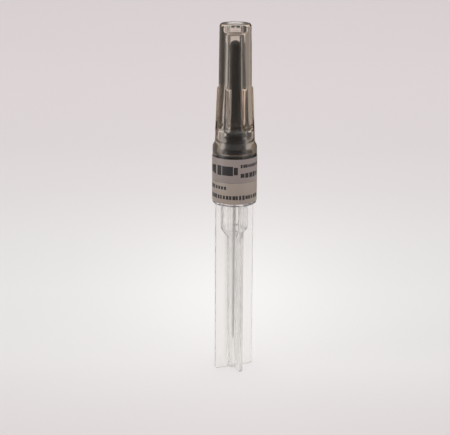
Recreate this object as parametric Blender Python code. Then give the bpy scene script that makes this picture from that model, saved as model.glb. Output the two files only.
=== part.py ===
# Capped double-ended blood collection needle: clear finned shield, smoke-grey rear cap,
# threaded hub with its cannula, adhesive bead and rubber sleeve, and the paper seal label.
# The part stands on the shield's closed end. Z runs up the needle's axis, with zero at that end.

import math

import bmesh
import bpy

MM = 0.001

# Cannula, a tube ground to a point at both ends
CANNULA_DIAMETER = 0.72 * MM
CANNULA_BORE = 0.41 * MM
CANNULA_REACH = 39.4 * MM       # hub's front face to the patient's point
REAR_REACH = 18.2 * MM          # end of the hub's thread to the rear point
FRONT_BEVEL_ANGLE = 12.0        # degrees between the bevel and the tube's axis
REAR_BEVEL_ANGLE = 17.0
LANCET_TURN = 35.0              # degrees that the two side faces are turned about the axis
LANCET_SHARE = 0.42             # part of the bevel's length that the side faces take

# Hub
BARREL_DIAMETER = 5.0 * MM
BARREL_LENGTH = 3.9 * MM
BARREL_CHAMFER = 0.3 * MM
LUG_PROUD_FRONT = 0.1 * MM
LUG_PROUD_BACK = 0.45 * MM
LUG_COUNT = 4
LUG_FLANK = 2.0                 # steepness of the lugs' sides
LUG_SPREAD = 0.37               # half-width of a lug as a part of half its pitch
FLANGE_DIAMETER = 7.7 * MM
FLANGE_THICKNESS = 1.0 * MM
FLANGE_ROUND = 0.3 * MM
THREADED_LENGTH = 5.8 * MM      # back of the flange to the end of the threaded part
THREAD_DIAMETER = 4.75 * MM
THREAD_DEPTH = 0.42 * MM
THREAD_PITCH = 1.45 * MM
THREAD_RELIEF = 0.55 * MM       # plain neck between the flange and the first turn
THREAD_CREST = 0.28             # part of the pitch that is flat at the crest
THREAD_ROOT = 0.38              # part of the pitch that is flat at the core
THREAD_LEAD = 0.4               # turns over which the thread grows
THREAD_RUN_OUT = 0.3            # turns over which it dies away
THREAD_END_CHAMFER = 0.1 * MM
NUB_DIAMETER = 2.3 * MM
NUB_LENGTH = 2.4 * MM
NUB_BARB = 0.15 * MM
NUB_BARB_LENGTH = 0.85 * MM
NUB_BARB_STEP = 0.25 * MM
NUB_END_DIAMETER = 1.84 * MM
HUB_BORE_CLEARANCE = 0.03 * MM

# Adhesive bead in and on the hub's front face
WELL_DIAMETER = 2.0 * MM
WELL_DEPTH = 1.2 * MM
BEAD_DIAMETER = 2.4 * MM
BEAD_LENGTH = 1.6 * MM
BEAD_TIP_DIAMETER = 1.0 * MM
BEAD_HOLLOW = 1.4               # 1 is a straight cone, more is a hollow one
BEAD_TIP_ROUND = 0.06 * MM
BEAD_GAP = 0.04 * MM

# Rubber sleeve over the rear point
SLEEVE_DIAMETER = 2.7 * MM
POINT_ROOM = 1.2 * MM           # rear point to the inside of the sleeve's end
SLEEVE_BORE = 1.3 * MM
SLEEVE_END_WALL = 0.9 * MM
SLEEVE_GAP = 0.05 * MM
SLEEVE_TAPER_LENGTH = 0.8 * MM
BULGE_WALL = 0.4 * MM
BULGE_BLEND = 0.08 * MM
SLEEVE_LIP = 0.15 * MM

# Shield
TIP_HEIGHT = 6.9 * MM           # base to the patient's point
BORE_FLOOR = 1.0 * MM
BORE_FLOOR_DISH = 0.2 * MM
BORE_CLEARANCE = 0.59 * MM      # round the cannula at the bottom of the narrow bore
BORE_DRAFT = 0.16 * MM          # growth of the narrow bore's radius up to the pocket
TUBE_WALL = 0.5 * MM
POCKET_DEPTH = 16.15 * MM       # neck's rim down to where the pocket starts to narrow
POCKET_DIAMETER = 4.9 * MM
POCKET_WALL = 0.7 * MM
POCKET_TAPER = 1.85 * MM
LUG_SOCKET_DEPTH = 5.2 * MM
LUG_CLEARANCE = 0.15 * MM
FIN_COUNT = 4
FIN_THICKNESS = 0.7 * MM
FIN_CIRCLE = 9.3 * MM
FIN_EDGE = 0.12 * MM
NECK_LENGTH = 4.25 * MM
NECK_MARGIN = 0.22 * MM         # neck's radius beyond the flange's
COLLAR_HEIGHT = 5.5 * MM
COLLAR_EDGE = 0.15 * MM
SHIELD_TURN = 23.0              # degrees about Z

# Rear cap
SEAT_GAP = 0.05 * MM
SKIRT_CLEARANCE = 0.08 * MM
SKIRT_WALL = 0.86 * MM
SKIRT_BORE_DEPTH = 6.05 * MM
CAP_COLLAR_HEIGHT = 7.6 * MM
COLLAR_CHAMFER_HEIGHT = 1.0 * MM
CONE_LENGTH = 2.5 * MM
CONE_FLARE = 0.07 * MM
GRIP_LENGTH = 9.8 * MM
GRIP_WALL = 1.72 * MM           # round the thread's room
GRIP_DRAFT = 0.4 * MM
PANEL_FLARE = 0.5 * MM          # growth of a panel's own section down the grip
PANEL_LEDGE = 0.25 * MM
PANEL_HALF_ANGLE = 21.5
PANEL_EDGE_ANGLE = 0.9          # half-width of the slope at a panel's side
SHOULDER_ROUND = 0.35 * MM
HEAD_WALL = 2.09 * MM           # at a corner, beside the cavity's closed end
HEAD_DRAFT = 0.15 * MM
FACE_BULGE = 1.08               # radius of a face's arc as a part of the corner's
TOP_CHAMFER_WIDTH = 0.3 * MM
TOP_CHAMFER_HEIGHT = 0.5 * MM
END_WALL = 2.4 * MM
END_RECESS_DIAMETER = 3.4 * MM
END_RECESS_DEPTH = 2.0 * MM
END_RECESS_ROUND = 0.12 * MM
THREAD_CLEARANCE = 0.325 * MM
FUNNEL_LENGTH = 3.6 * MM        # from the thread's room to the sleeve's room
BULGE_CLEARANCE = 0.19 * MM
SLEEVE_CLEARANCE = 0.1 * MM
SLEEVE_HEADROOM = 1.15 * MM
CAVITY_ROUND = 0.15 * MM
CAP_TURN = 5.0                  # degrees about Z

# Seal label
LABEL_THICKNESS = 0.06 * MM
LABEL_GAP = 0.02 * MM
LABEL_ABOVE = 5.4 * MM
LABEL_BELOW = 4.9 * MM
TEAR_GAP = 0.04 * MM

# Facets round the axis
CAP_SECTORS = 6
SECTOR_STEPS = 14
ROUND_STEPS = 72
HUB_STEPS = 48
SLEEVE_STEPS = 36
TUBE_STEPS = 24
THREAD_RINGS_PER_TURN = 10

# Heights that follow from the sizes above
CANNULA_RADIUS = CANNULA_DIAMETER / 2
HUB_FRONT = TIP_HEIGHT + CANNULA_REACH
FLANGE_FRONT = HUB_FRONT + BARREL_LENGTH
FLANGE_BACK = FLANGE_FRONT + FLANGE_THICKNESS
THREAD_END = FLANGE_BACK + THREADED_LENGTH
NUB_END = THREAD_END + NUB_LENGTH
REAR_POINT = THREAD_END + REAR_REACH
SLEEVE_BASE = THREAD_END + SLEEVE_GAP
SLEEVE_TOP = REAR_POINT + POINT_ROOM + SLEEVE_END_WALL
SHIELD_TOP = FLANGE_FRONT - SEAT_GAP
COLLAR_TOP = SHIELD_TOP - NECK_LENGTH
COLLAR_BOTTOM = COLLAR_TOP - COLLAR_HEIGHT
CAP_BOTTOM = COLLAR_TOP + SEAT_GAP
CONE_BOTTOM = CAP_BOTTOM + CAP_COLLAR_HEIGHT + COLLAR_CHAMFER_HEIGHT
GRIP_BOTTOM = CONE_BOTTOM + CONE_LENGTH
GRIP_TOP = GRIP_BOTTOM + GRIP_LENGTH
FUNNEL_TOP = GRIP_BOTTOM + FUNNEL_LENGTH
CAVITY_TOP = SLEEVE_TOP + SLEEVE_HEADROOM
CAP_TOP = CAVITY_TOP + END_WALL

# Radii that mating pieces share
LUG_RADIUS = BARREL_DIAMETER / 2 + LUG_PROUD_BACK
NECK_RADIUS = FLANGE_DIAMETER / 2 + NECK_MARGIN
SKIRT_BORE_RADIUS = NECK_RADIUS + SKIRT_CLEARANCE
COLLAR_RADIUS = SKIRT_BORE_RADIUS + SKIRT_WALL
THREAD_BORE_RADIUS = THREAD_DIAMETER / 2 + THREAD_CLEARANCE
CAVITY_RADIUS = SLEEVE_DIAMETER / 2 + SLEEVE_CLEARANCE
HUB_BORE_RADIUS = CANNULA_RADIUS + HUB_BORE_CLEARANCE
NUB_BARB_RADIUS = NUB_DIAMETER / 2 + NUB_BARB
NUB_ROOM_RADIUS = NUB_BARB_RADIUS + SLEEVE_GAP
BULGE_RADIUS = NUB_ROOM_RADIUS + BULGE_WALL


def clear_scene():
    for item in list(bpy.data.objects):
        bpy.data.objects.remove(item, do_unlink=True)


def make_material(name, colour, roughness, metallic=0.0, alpha=1.0):
    material = bpy.data.materials.new(name)
    material.use_nodes = True
    shader = material.node_tree.nodes["Principled BSDF"]
    shader.inputs["Base Color"].default_value = (*colour, 1.0)
    shader.inputs["Roughness"].default_value = roughness
    shader.inputs["Metallic"].default_value = metallic
    shader.inputs["Alpha"].default_value = alpha
    return material


def make_object(name, bm, material=None, turn=0.0):
    bmesh.ops.recalc_face_normals(bm, faces=bm.faces)
    mesh = bpy.data.meshes.new(name)
    bm.to_mesh(mesh)
    bm.free()
    mesh.shade_smooth()
    mesh.set_sharp_from_angle(angle=math.radians(30.0))
    item = bpy.data.objects.new(name, mesh)
    item.rotation_euler.z = math.radians(turn)
    if material:
        mesh.materials.append(material)
    bpy.context.collection.objects.link(item)
    return item


def arc(centre_r, centre_z, radius, start, end, steps):
    # Points of a round edge in the profile's plane, angles in degrees from +R towards +Z
    points = []
    for step in range(steps + 1):
        angle = math.radians(start + (end - start) * step / steps)
        points.append((centre_r + radius * math.cos(angle), centre_z + radius * math.sin(angle)))
    return points


def revolve(profile, steps, ring=False):
    # Turns an outline of (radius, height) points about Z. Each point keeps its number as its ring.
    bm = bmesh.new()
    layer = bm.verts.layers.int.new("ring")
    verts = []
    for number, (radius, height) in enumerate(profile):
        vert = bm.verts.new((radius, 0.0, height))
        vert[layer] = number
        verts.append(vert)
    edges = [bm.edges.new(pair) for pair in zip(verts, verts[1:])]
    if ring:
        edges.append(bm.edges.new((verts[-1], verts[0])))
    bmesh.ops.spin(
        bm, geom=verts + edges, cent=(0, 0, 0), axis=(0, 0, 1), dvec=(0, 0, 0),
        angle=2 * math.pi, steps=steps, use_merge=True, use_duplicate=False,
    )
    bmesh.ops.remove_doubles(bm, verts=bm.verts, dist=0.0005 * MM)
    return bm, layer


def set_polar(vert, radius, angle):
    vert.co.x = radius * math.cos(angle)
    vert.co.y = radius * math.sin(angle)


def cap_bore_radius(height):
    # Straight taper of the sleeve's room, from the funnel to the cavity's closed end
    share = (CAVITY_TOP - height) / (CAVITY_TOP - FUNNEL_TOP)
    return CAVITY_RADIUS + (BULGE_RADIUS + BULGE_CLEARANCE - CAVITY_RADIUS) * share


def grip_radius(height):
    share = (height - GRIP_BOTTOM) / GRIP_LENGTH
    return THREAD_BORE_RADIUS + GRIP_WALL - GRIP_DRAFT * share


def head_corner_radius(height):
    share = (CAP_TOP - height) / (CAP_TOP - GRIP_TOP)
    return CAVITY_RADIUS + HEAD_WALL + HEAD_DRAFT * share


def bulged_radius(corner, angle):
    # Radius of a six-sided section with bulging faces, angle measured from the middle of a face
    face = corner * FACE_BULGE
    half_side = corner * math.sin(math.pi / CAP_SECTORS)
    back = math.sqrt(face * face - half_side * half_side) - corner * math.cos(math.pi / CAP_SECTORS)
    return math.sqrt(face * face - (back * math.sin(angle)) ** 2) - back * math.cos(angle)


def panel_radius(height, angle):
    # A panel carries the face of the head on down, and comes nearer the grip's surface
    down = (GRIP_TOP - height) / GRIP_LENGTH
    return bulged_radius(head_corner_radius(GRIP_TOP) + PANEL_FLARE * down, angle)


def sector_angles():
    # Half a sector's facets: close together at the edge of a panel, even elsewhere
    edge = math.radians(PANEL_HALF_ANGLE)
    half = math.pi / CAP_SECTORS
    band = math.radians(PANEL_EDGE_ANGLE)
    inner = [(edge - band) * step / 3 for step in range(4)]
    outer = [edge + band + (half - edge - band) * step / 3 for step in range(4)]
    return inner + outer


def cap_outline():
    # Each point is (radius, height, form), from the middle of the end down and back up the bore
    recess = END_RECESS_DIAMETER / 2
    corner = head_corner_radius(CAP_TOP)
    points = [
        (0.0, CAP_TOP - END_RECESS_DEPTH, "round"),
        (recess - END_RECESS_ROUND, CAP_TOP - END_RECESS_DEPTH, "round"),
        (recess, CAP_TOP - END_RECESS_DEPTH + END_RECESS_ROUND, "round"),
        (recess, CAP_TOP, "round"),
        (corner - TOP_CHAMFER_WIDTH, CAP_TOP, "head"),
    ]
    for height in (CAP_TOP - TOP_CHAMFER_HEIGHT, (CAP_TOP + GRIP_TOP) / 2, GRIP_TOP):
        points.append((head_corner_radius(height), height, "head"))
    shoulder = grip_radius(GRIP_TOP) - SHOULDER_ROUND
    for radius, height in arc(shoulder, GRIP_TOP - SHOULDER_ROUND, SHOULDER_ROUND, 90, 0, 3):
        points.append((radius, height, "grip"))
    for height in ((GRIP_TOP + GRIP_BOTTOM) / 2, GRIP_BOTTOM + PANEL_LEDGE):
        points.append((grip_radius(height), height, "grip"))
    points.append((grip_radius(GRIP_BOTTOM), GRIP_BOTTOM, "round"))
    points.append((grip_radius(GRIP_BOTTOM) + CONE_FLARE, CONE_BOTTOM, "round"))
    points.append((COLLAR_RADIUS, CONE_BOTTOM - COLLAR_CHAMFER_HEIGHT, "round"))
    points.append((COLLAR_RADIUS, CAP_BOTTOM + COLLAR_EDGE, "round"))
    points.append((COLLAR_RADIUS - COLLAR_EDGE, CAP_BOTTOM, "round"))
    points.append((SKIRT_BORE_RADIUS, CAP_BOTTOM, "round"))
    points.append((SKIRT_BORE_RADIUS, CAP_BOTTOM + SKIRT_BORE_DEPTH, "round"))
    points.append((THREAD_BORE_RADIUS, CAP_BOTTOM + SKIRT_BORE_DEPTH, "round"))
    points.append((THREAD_BORE_RADIUS, GRIP_BOTTOM, "round"))
    for height in (FUNNEL_TOP, (GRIP_TOP + FUNNEL_TOP) / 2, GRIP_TOP, (CAP_TOP + GRIP_TOP) / 2):
        points.append((cap_bore_radius(height), height, "round"))
    end = cap_bore_radius(CAVITY_TOP - CAVITY_ROUND)
    for radius, height in arc(end - CAVITY_ROUND, CAVITY_TOP - CAVITY_ROUND, CAVITY_ROUND, 0, 90, 3):
        points.append((radius, height, "round"))
    points.append((0.0, CAVITY_TOP, "round"))
    return points


def build_rear_cap():
    outline = cap_outline()
    steps = CAP_SECTORS * SECTOR_STEPS
    bm, layer = revolve([(radius, height) for radius, height, form in outline], steps)
    half = sector_angles()
    sector = 2 * math.pi / CAP_SECTORS
    for vert in bm.verts:
        radius, height, form = outline[vert[layer]]
        if radius == 0.0:
            continue
        number = round(math.atan2(vert.co.y, vert.co.x) / (sector / SECTOR_STEPS))
        face = round(number / SECTOR_STEPS)
        offset = number - face * SECTOR_STEPS
        local = math.copysign(half[abs(offset)], offset)
        if form == "head":
            radius = bulged_radius(radius, local)
        if form == "grip" and abs(local) < math.radians(PANEL_HALF_ANGLE):
            radius = min(radius, panel_radius(height, local))
        set_polar(vert, radius, face * sector + local)
    smoke = make_material("smoke_plastic", (0.30, 0.27, 0.24), 0.15, alpha=0.45)
    return make_object("rear_cap", bm, smoke, CAP_TURN - 90.0)


def shield_outline():
    bore = CANNULA_RADIUS + BORE_CLEARANCE
    pocket = POCKET_DIAMETER / 2
    pocket_floor = SHIELD_TOP - POCKET_DEPTH
    taper_end = pocket_floor - POCKET_TAPER
    socket = LUG_RADIUS + LUG_CLEARANCE
    socket_floor = SHIELD_TOP - LUG_SOCKET_DEPTH
    outer = [
        (0.0, 0.0),
        (bore + TUBE_WALL - COLLAR_EDGE, 0.0),
        (bore + TUBE_WALL, COLLAR_EDGE),
        (bore + BORE_DRAFT + TUBE_WALL, taper_end),
        (pocket + POCKET_WALL, pocket_floor + POCKET_WALL / 2),
        (pocket + POCKET_WALL, COLLAR_BOTTOM),
        (COLLAR_RADIUS - COLLAR_EDGE, COLLAR_BOTTOM),
        (COLLAR_RADIUS, COLLAR_BOTTOM + COLLAR_EDGE),
        (COLLAR_RADIUS, COLLAR_TOP),
        (NECK_RADIUS, COLLAR_TOP),
        (NECK_RADIUS, SHIELD_TOP - COLLAR_EDGE),
        (NECK_RADIUS - COLLAR_EDGE, SHIELD_TOP),
    ]
    inner = [
        (socket, SHIELD_TOP),
        (socket, socket_floor),
        (pocket, socket_floor - (socket - pocket)),
        (pocket, pocket_floor),
        (bore + BORE_DRAFT, taper_end),
        (bore, BORE_FLOOR),
        (0.0, BORE_FLOOR - BORE_FLOOR_DISH),
    ]
    return outer + inner


def build_fin(number):
    # A flat web from inside the tube's wall out to the fin circle, up into the collar
    bore = CANNULA_RADIUS + BORE_CLEARANCE
    wall_middle = bore + TUBE_WALL / 2
    pocket_middle = (POCKET_DIAMETER + POCKET_WALL) / 2
    pocket_floor = SHIELD_TOP - POCKET_DEPTH
    taper_end = pocket_floor - POCKET_TAPER
    top = COLLAR_BOTTOM + 2 * COLLAR_EDGE
    edge = FIN_CIRCLE / 2
    outline = [
        (wall_middle, 0.0),
        (edge - 2 * COLLAR_EDGE, 0.0),
        (edge, 2 * COLLAR_EDGE),
        (edge, top),
        (pocket_middle, top),
        (pocket_middle, pocket_floor + POCKET_WALL / 4),
        (wall_middle + BORE_DRAFT, taper_end),
    ]
    bm = bmesh.new()
    verts = [bm.verts.new((radius, -FIN_THICKNESS / 2, height)) for radius, height in outline]
    face = bm.faces.new(verts)
    grown = bmesh.ops.extrude_face_region(bm, geom=[face])
    moved = [item for item in grown["geom"] if isinstance(item, bmesh.types.BMVert)]
    bmesh.ops.translate(bm, verts=moved, vec=(0, FIN_THICKNESS, 0))
    rim = [
        item for item in bm.edges
        if all(abs(vert.co.x - edge) < 0.01 * MM for vert in item.verts)
        and abs(item.verts[0].co.z - item.verts[1].co.z) > MM
    ]
    bmesh.ops.bevel(
        bm, geom=rim, offset=FIN_EDGE, offset_type="OFFSET", segments=2, profile=0.5,
        affect="EDGES", material=-1,
    )
    fin = make_object("fin_%d" % number, bm, turn=SHIELD_TURN - 90.0 + 360.0 * number / FIN_COUNT)
    fin.hide_render = True
    fin.display_type = "WIRE"
    return fin


def build_needle_shield():
    bm, layer = revolve(shield_outline(), ROUND_STEPS)
    clear = make_material("clear_plastic", (0.90, 0.91, 0.89), 0.12, alpha=0.3)
    shield = make_object("needle_shield", bm, clear, SHIELD_TURN - 90.0)
    for number in range(FIN_COUNT):
        fin = build_fin(number)
        union = shield.modifiers.new("fin_%d" % number, "BOOLEAN")
        union.operation = "UNION"
        union.solver = "EXACT"
        union.object = fin
    return shield


def thread_proud(height, angle):
    # How far the single-start thread stands out of its core at a height and an angle
    start = FLANGE_BACK + THREAD_RELIEF
    turn = (height - start) / THREAD_PITCH - angle / (2 * math.pi)
    flank = abs(turn - round(turn)) * 2
    ridge = (1 - THREAD_ROOT - flank) / (1 - THREAD_ROOT - THREAD_CREST)
    lead = (height - start) / (THREAD_LEAD * THREAD_PITCH)
    run_out = (THREAD_END - THREAD_END_CHAMFER - height) / (THREAD_RUN_OUT * THREAD_PITCH)
    return THREAD_DEPTH * min(max(ridge, 0.0), 1.0) * min(max(lead, 0.0), max(run_out, 0.0), 1.0)


def hub_outline():
    # Each point is (radius, height, form), from the well in the front face to the bore's end
    barrel = BARREL_DIAMETER / 2
    flange = FLANGE_DIAMETER / 2
    core = THREAD_DIAMETER / 2 - THREAD_DEPTH
    nub = NUB_DIAMETER / 2
    points = [
        (HUB_BORE_RADIUS, HUB_FRONT + WELL_DEPTH, "round"),
        (WELL_DIAMETER / 2, HUB_FRONT + WELL_DEPTH, "round"),
        (WELL_DIAMETER / 2, HUB_FRONT, "round"),
        (barrel - BARREL_CHAMFER, HUB_FRONT, "round"),
        (barrel, HUB_FRONT + BARREL_CHAMFER, "lug"),
        (barrel, FLANGE_FRONT, "lug"),
    ]
    round_middle = flange - FLANGE_ROUND
    for radius, height in arc(round_middle, FLANGE_FRONT + FLANGE_ROUND, FLANGE_ROUND, -90, 0, 3):
        points.append((radius, height, "round"))
    for radius, height in arc(round_middle, FLANGE_BACK - FLANGE_ROUND, FLANGE_ROUND, 0, 90, 3):
        points.append((radius, height, "round"))
    points.append((core, FLANGE_BACK, "round"))
    start = FLANGE_BACK + THREAD_RELIEF
    end = THREAD_END - THREAD_END_CHAMFER
    rings = math.ceil((end - start) / THREAD_PITCH * THREAD_RINGS_PER_TURN)
    for ring in range(rings + 1):
        points.append((core, start + (end - start) * ring / rings, "thread"))
    points.append((core - THREAD_END_CHAMFER, THREAD_END, "round"))
    points.append((nub, THREAD_END, "round"))
    points.append((nub, NUB_END - NUB_BARB_LENGTH - NUB_BARB_STEP, "round"))
    points.append((NUB_BARB_RADIUS, NUB_END - NUB_BARB_LENGTH, "round"))
    points.append((NUB_END_DIAMETER / 2, NUB_END, "round"))
    points.append((HUB_BORE_RADIUS, NUB_END, "round"))
    return points


def build_hub():
    outline = hub_outline()
    bm, layer = revolve([(radius, height) for radius, height, form in outline], HUB_STEPS, ring=True)
    for vert in bm.verts:
        radius, height, form = outline[vert[layer]]
        angle = math.atan2(vert.co.y, vert.co.x)
        if form == "thread":
            radius += thread_proud(height, angle)
        if form == "lug":
            share = (height - HUB_FRONT) / BARREL_LENGTH
            proud = LUG_PROUD_FRONT + (LUG_PROUD_BACK - LUG_PROUD_FRONT) * share
            lobe = math.cos(LUG_COUNT * angle) - math.cos(math.pi * LUG_SPREAD)
            radius += proud * min(max(lobe * LUG_FLANK, 0.0), 1.0)
        set_polar(vert, radius, angle)
    black = make_material("black_plastic", (0.012, 0.013, 0.014), 0.42)
    return make_object("hub", bm, black)


def ground_height(vert, bevel_angle, radius):
    # Height above the point of its three ground faces, over one place in the tube's section.
    # The main face tilts back from the point, and the two lancet faces are turned about the axis.
    turn = math.radians(LANCET_TURN)
    rise = 2 * LANCET_SHARE
    reach = math.sqrt(1 - (1 - rise) ** 2)
    ease = rise / (rise * math.cos(turn) + reach * math.sin(turn))
    back = vert.co.y + radius
    side = ease * (back * math.cos(turn) + abs(vert.co.x) * math.sin(turn))
    return max(back, side) / math.tan(math.radians(bevel_angle))


def build_cannula():
    radius = CANNULA_RADIUS
    bore = CANNULA_BORE / 2
    middle = (TIP_HEIGHT + REAR_POINT) / 2
    profile = [
        (radius, TIP_HEIGHT), (radius, middle), (radius, REAR_POINT),
        (bore, REAR_POINT), (bore, middle), (bore, TIP_HEIGHT),
    ]
    bm, layer = revolve(profile, TUBE_STEPS, ring=True)
    for vert in bm.verts:
        number = vert[layer]
        if number in (0, 5):
            vert.co.z += ground_height(vert, FRONT_BEVEL_ANGLE, radius)
        if number in (2, 3):
            vert.co.z -= ground_height(vert, REAR_BEVEL_ANGLE, radius)
    steel = make_material("steel", (0.52, 0.52, 0.53), 0.28, metallic=1.0)
    return make_object("cannula", bm, steel)


def build_adhesive_bead():
    bore = HUB_BORE_RADIUS
    plug = WELL_DIAMETER / 2 - BEAD_GAP
    bead = BEAD_DIAMETER / 2
    tip = BEAD_TIP_DIAMETER / 2
    top = HUB_FRONT - BEAD_GAP
    profile = [(bore, HUB_FRONT + WELL_DEPTH - BEAD_GAP), (plug, HUB_FRONT + WELL_DEPTH - BEAD_GAP)]
    profile += [(plug, top), (bead, top)]
    for step in range(1, 7):
        share = step / 6
        radius = tip + (bead - tip) * (1 - share) ** BEAD_HOLLOW
        profile.append((radius, top - (BEAD_LENGTH - BEAD_TIP_ROUND) * share))
    profile.append((bore, top - BEAD_LENGTH))
    bm, layer = revolve(profile, TUBE_STEPS, ring=True)
    resin = make_material("yellow_resin", (0.62, 0.55, 0.26), 0.25, alpha=0.75)
    return make_object("adhesive_bead", bm, resin)


def build_rubber_sleeve():
    radius = SLEEVE_DIAMETER / 2
    bore = SLEEVE_BORE / 2
    bulge_end = NUB_END + SLEEVE_GAP
    inner_top = SLEEVE_TOP - SLEEVE_END_WALL
    profile = arc(0.0, SLEEVE_TOP - radius, radius, 90, 0, 8)
    profile[0] = (0.0, SLEEVE_TOP)
    profile.append((radius, bulge_end + SLEEVE_TAPER_LENGTH))
    profile.append((radius + BULGE_BLEND, bulge_end + SLEEVE_TAPER_LENGTH * 0.75))
    profile += [(BULGE_RADIUS - BULGE_BLEND, bulge_end), (BULGE_RADIUS, bulge_end - SLEEVE_LIP)]
    profile += arc(BULGE_RADIUS - SLEEVE_LIP, SLEEVE_BASE + SLEEVE_LIP, SLEEVE_LIP, 0, -90, 2)
    profile += [(NUB_ROOM_RADIUS, SLEEVE_BASE), (NUB_ROOM_RADIUS, bulge_end)]
    profile.append((bore, bulge_end + SLEEVE_TAPER_LENGTH))
    profile += arc(0.0, inner_top - bore, bore, 0, 90, 4)[:-1]
    profile.append((0.0, inner_top))
    bm, layer = revolve(profile, SLEEVE_STEPS)
    rubber = make_material("dark_rubber", (0.02, 0.021, 0.021), 0.6)
    return make_object("rubber_sleeve", bm, rubber)


def build_label(name, bottom, top):
    inner = COLLAR_RADIUS + LABEL_GAP
    outer = inner + LABEL_THICKNESS
    profile = [(inner, bottom), (outer, bottom), (outer, top), (inner, top)]
    bm, layer = revolve(profile, ROUND_STEPS, ring=True)
    paper = make_material(name + "_paper", (0.55, 0.53, 0.52), 0.8)
    return make_object(name, bm, paper)


def main():
    clear_scene()
    build_needle_shield()
    build_label("seal_label_lower", COLLAR_TOP - LABEL_BELOW, COLLAR_TOP - TEAR_GAP)
    build_hub()
    build_cannula()
    build_adhesive_bead()
    build_rubber_sleeve()
    build_rear_cap()
    build_label("seal_label_upper", CAP_BOTTOM + TEAR_GAP, CAP_BOTTOM + LABEL_ABOVE)


main()
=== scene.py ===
import math

import bmesh
import bpy
from mathutils import Matrix, Vector


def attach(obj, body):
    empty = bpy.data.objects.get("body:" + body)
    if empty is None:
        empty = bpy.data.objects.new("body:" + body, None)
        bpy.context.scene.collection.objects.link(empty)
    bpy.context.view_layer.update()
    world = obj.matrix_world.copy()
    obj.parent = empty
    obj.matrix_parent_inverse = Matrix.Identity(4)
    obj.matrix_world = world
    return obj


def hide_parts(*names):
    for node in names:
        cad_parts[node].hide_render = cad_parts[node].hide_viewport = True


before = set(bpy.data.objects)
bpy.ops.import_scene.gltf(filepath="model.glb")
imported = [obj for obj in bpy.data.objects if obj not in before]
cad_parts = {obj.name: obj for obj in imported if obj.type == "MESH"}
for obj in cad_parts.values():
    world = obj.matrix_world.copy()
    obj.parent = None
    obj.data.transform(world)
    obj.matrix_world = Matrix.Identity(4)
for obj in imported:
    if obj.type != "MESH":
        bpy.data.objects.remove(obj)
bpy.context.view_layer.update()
print("frame loaded")

mm = 0.001
scene = bpy.context.scene


# Mesh helpers. Outlines are (radius, height, form) in millimetres, and form says how a ring is bent.

meshLimits = {
    "weld": 0.0004, "onAxis": 0.0005,  # points this close merge, and ones this near the axis aren't bent
    "cornerShare": 0.45,               # a rounding takes at most this part of the side beside it
}


def formed(form, *places):
    return [(radius, height, form) for radius, height in places]


def eased(share, curve):
    # From 0 to 1, with a soft start and end where curve is 1, and straight where it is 0
    return share * share * (3 - 2 * share) * curve + share * (1 - curve)


def limited(value):
    return min(max(value, 0.0), 1.0)


def softened(outline, softness, steps=3):
    # Rounds each corner of an outline whose two neighbours have its own form
    result = [outline[0]]
    for before, corner, after in zip(outline, outline[1:], outline[2:]):
        if not (before[2] == corner[2] == after[2]):
            result.append(corner)
            continue
        reach = []
        for other in (before, after):
            length = math.hypot(other[0] - corner[0], other[1] - corner[1])
            share = min(softness / max(length, 1e-6), meshLimits["cornerShare"])
            reach.append([corner[k] + (other[k] - corner[k]) * share for k in (0, 1)])
        for step in range(steps + 1):
            t = step / steps
            place = [
                (1 - t) ** 2 * reach[0][k] + 2 * t * (1 - t) * corner[k] + t * t * reach[1][k]
                for k in (0, 1)
            ]
            result.append((place[0], place[1], corner[2]))
    result.append(outline[-1])
    return result


def roundArc(centreRadius, centreHeight, radius, start, end, steps, form="round"):
    points = []
    for step in range(steps + 1):
        angle = math.radians(start + (end - start) * step / steps)
        points.append((centreRadius + radius * math.cos(angle), centreHeight + radius * math.sin(angle), form))
    return points


def spinRings(outline, steps, bend=None, closed=False, turn=0.0):
    # Spins an outline about Z, then bend moves each ring's points: bend(point, step) gives x, y, z
    bm = bmesh.new()
    ringLayer = bm.verts.layers.int.new("ring")
    chain = []
    for number, point in enumerate(outline):
        vert = bm.verts.new((point[0], 0.0, point[1]))
        vert[ringLayer] = number
        chain.append(vert)
    edges = [bm.edges.new(pair) for pair in zip(chain, chain[1:])]
    if closed:
        edges.append(bm.edges.new((chain[-1], chain[0])))
    bmesh.ops.spin(
        bm, geom=chain + edges, cent=(0, 0, 0), axis=(0, 0, 1), dvec=(0, 0, 0),
        angle=2 * math.pi, steps=steps, use_merge=True, use_duplicate=False,
    )
    bmesh.ops.remove_doubles(bm, verts=bm.verts, dist=meshLimits["weld"])
    if bend:
        for vert in bm.verts:
            if math.hypot(vert.co.x, vert.co.y) < meshLimits["onAxis"]:
                continue
            step = round(math.atan2(vert.co.y, vert.co.x) / (2 * math.pi) * steps) % steps
            vert.co = bend(outline[vert[ringLayer]], step)
    bmesh.ops.rotate(bm, cent=(0, 0, 0), matrix=Matrix.Rotation(math.radians(turn), 3, "Z"), verts=bm.verts)
    return bm


def inSectors(step, half, count, place):
    # place(column) gives x and y in half a sector, which is mirrored and then turned about Z
    sector = round(step / (2 * half))
    offset = step - sector * 2 * half
    x, y = place(abs(offset))
    y = math.copysign(y, offset)
    spin = 2 * sector * math.pi / count
    return x * math.cos(spin) - y * math.sin(spin), x * math.sin(spin) + y * math.cos(spin)


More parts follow.
